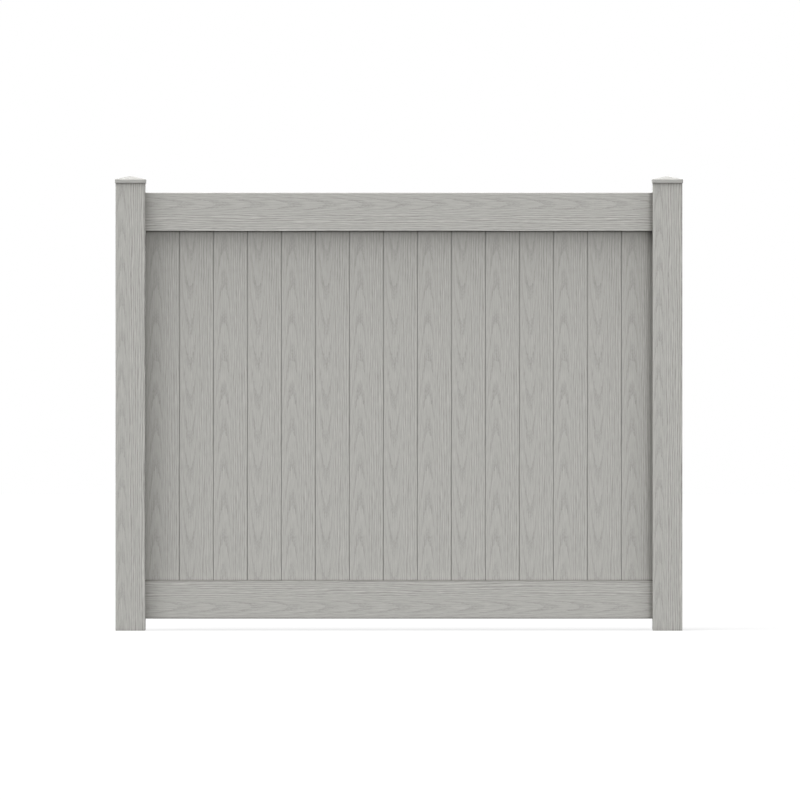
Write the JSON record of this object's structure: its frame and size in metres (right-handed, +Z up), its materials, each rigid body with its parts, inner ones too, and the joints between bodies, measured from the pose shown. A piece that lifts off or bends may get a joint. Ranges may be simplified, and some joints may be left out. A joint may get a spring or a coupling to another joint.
{
  "type": "privacy fence panel",
  "caption": "Solid privacy fence panel: upright tongue-and-groove boards held in pocketed top and bottom rails between square hollow posts with low pyramid caps.",
  "frame": {"origin": "on the ground, midway between the posts, at the middle of their depth", "axes": "+X along the fence to the right seen from the front, +Y through the panel to the back, +Z up"},
  "size_m": [2.4438, 0.1328, 1.9555],
  "materials": {
    "post_composite": "matte warm grey with embossed wood grain",
    "rail_composite": "matte warm grey with embossed wood grain running along the rail",
    "board_composite": "matte warm grey with embossed cathedral wood grain",
    "cap_composite": "smooth satin warm grey",
    "galvanised_steel": "dull galvanised sheet"
  },
  "bodies": {
    "root": {"left_post": "post_composite", "right_post": "post_composite", "left_cap": "cap_composite", "right_cap": "cap_composite", "top_rail": "rail_composite", "bottom_rail": "rail_composite", "rail_stiffener": "galvanised_steel", "board_01": "board_composite", "board_02": "board_composite", "board_03": "board_composite", "board_04": "board_composite", "board_05": "board_composite", "board_06": "board_composite", "board_07": "board_composite", "board_08": "board_composite", "board_09": "board_composite", "board_10": "board_composite", "board_11": "board_composite", "board_12": "board_composite", "board_13": "board_composite", "board_14": "board_composite", "board_15": "board_composite"}
  },
  "joints": []
}
